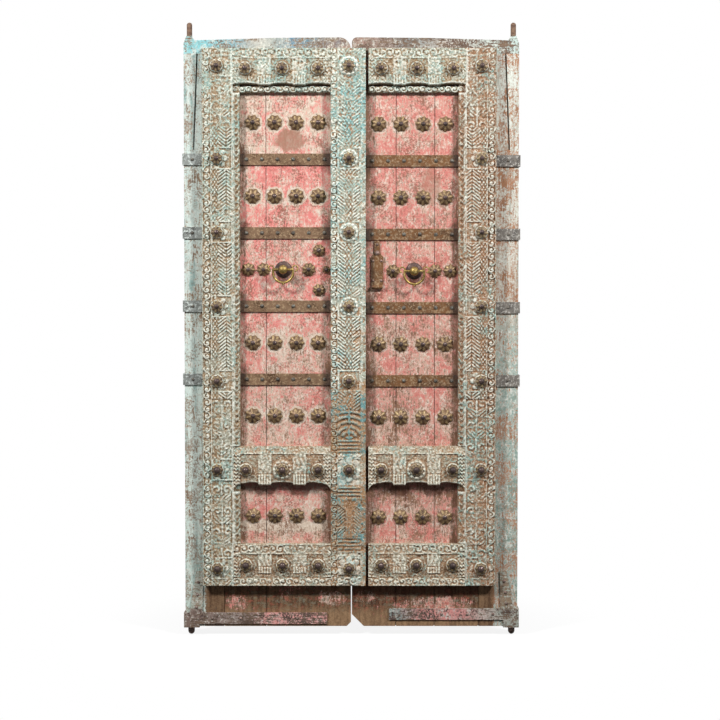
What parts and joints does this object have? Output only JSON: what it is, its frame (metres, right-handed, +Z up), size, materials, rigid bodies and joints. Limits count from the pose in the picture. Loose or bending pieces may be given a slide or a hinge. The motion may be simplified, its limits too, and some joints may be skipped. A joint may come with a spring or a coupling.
{
  "type": "painted wooden door pair",
  "caption": "Old pair of painted plank door leaves with a carved applied frame, iron bands, petal bosses, brass ring pulls and pivot pins top and bottom.",
  "frame": {"origin": "on the left leaf's pivot line, at the top of its bottom journal, at mid thickness of the boards", "axes": "+X to the right along the pair, +Y away from the viewer so that the carved face looks to -Y, +Z up along the pivot lines"},
  "size_m": [1.121, 0.1162, 2.043],
  "materials": {
    "panel_paint": "flaking pink paint over bare wood",
    "edge_paint": "chalky pale blue-green paint, worn",
    "worn_wood": "bare brown wood with blue flakes of paint",
    "rail_turquoise": "flaking turquoise paint",
    "rail_brown": "weathered brown wood with white flecks",
    "carved_pale": "pale celadon paint worn off the high points",
    "carved_turquoise": "turquoise and cream paint worn to brown wood",
    "carved_brown": "brown wood with white and turquoise paint left in the carving",
    "bare_wood": "unpainted weathered wood",
    "band_iron": "brown rusted iron strap",
    "dark_iron": "dark forged iron with paint left on it",
    "boss_iron": "dark brown patinated metal",
    "brass": "dull aged brass"
  },
  "bodies": {
    "left_leaf": {"left_hinge_board": "edge_paint", "left_board_2": "panel_paint", "left_board_3": "panel_paint", "left_top_rail": "rail_turquoise", "left_edge_strip": "edge_paint", "left_stile": "carved_pale", "left_head_rail": "carved_pale", "left_mid_rail": "carved_turquoise", "left_foot_rail": "carved_turquoise", "left_bead_strip": "carved_pale", "centre_post": "carved_turquoise", "left_band_1": "band_iron", "left_band_2": "band_iron", "left_band_3": "band_iron", "left_band_4": "band_iron", "left_band_rivets": "dark_iron", "left_bosses": "boss_iron", "left_studs": "boss_iron", "left_corner_iron": "dark_iron", "left_corner_nails": "dark_iron", "left_pintle": "dark_iron", "left_ledges": "bare_wood", "left_rose": "boss_iron", "left_knob": "brass"},
    "right_leaf": {"right_hinge_board": "worn_wood", "right_board_2": "panel_paint", "right_board_3": "panel_paint", "right_board_4": "panel_paint", "right_top_rail": "rail_brown", "right_edge_strip": "worn_wood", "right_stile": "carved_brown", "right_head_rail": "carved_pale", "right_mid_rail": "carved_turquoise", "right_foot_rail": "carved_turquoise", "right_bead_strip": "carved_pale", "right_band_1": "band_iron", "right_band_2": "band_iron", "right_band_3": "band_iron", "right_band_4": "band_iron", "right_band_rivets": "dark_iron", "right_bosses": "boss_iron", "right_studs": "boss_iron", "right_corner_iron": "dark_iron", "right_corner_nails": "dark_iron", "right_pintle": "dark_iron", "right_ledges": "bare_wood", "right_rose": "brass", "right_knob": "brass", "hasp_plate": "band_iron", "hasp_rivets": "dark_iron"},
    "left_pull": {"left_ring": "brass"},
    "right_pull": {"right_ring": "brass"}
  },
  "joints": [
    {"name": "right_leaf_swing", "type": "hinge", "parent": "left_leaf", "child": "right_leaf", "pos_m": [1.075, 0, 0], "axis": [0, 0, -1], "range_deg": [0, 110]},
    {"name": "left_ring_swing", "type": "hinge", "parent": "left_leaf", "child": "left_pull", "pos_m": [0.3115, -0.054, 1.19975], "axis": [-1, 0, 0], "range_deg": [-25, 95]},
    {"name": "right_ring_swing", "type": "hinge", "parent": "right_leaf", "child": "right_pull", "pos_m": [0.7455, -0.054, 1.19475], "axis": [-1, 0, 0], "range_deg": [-25, 95]}
  ]
}
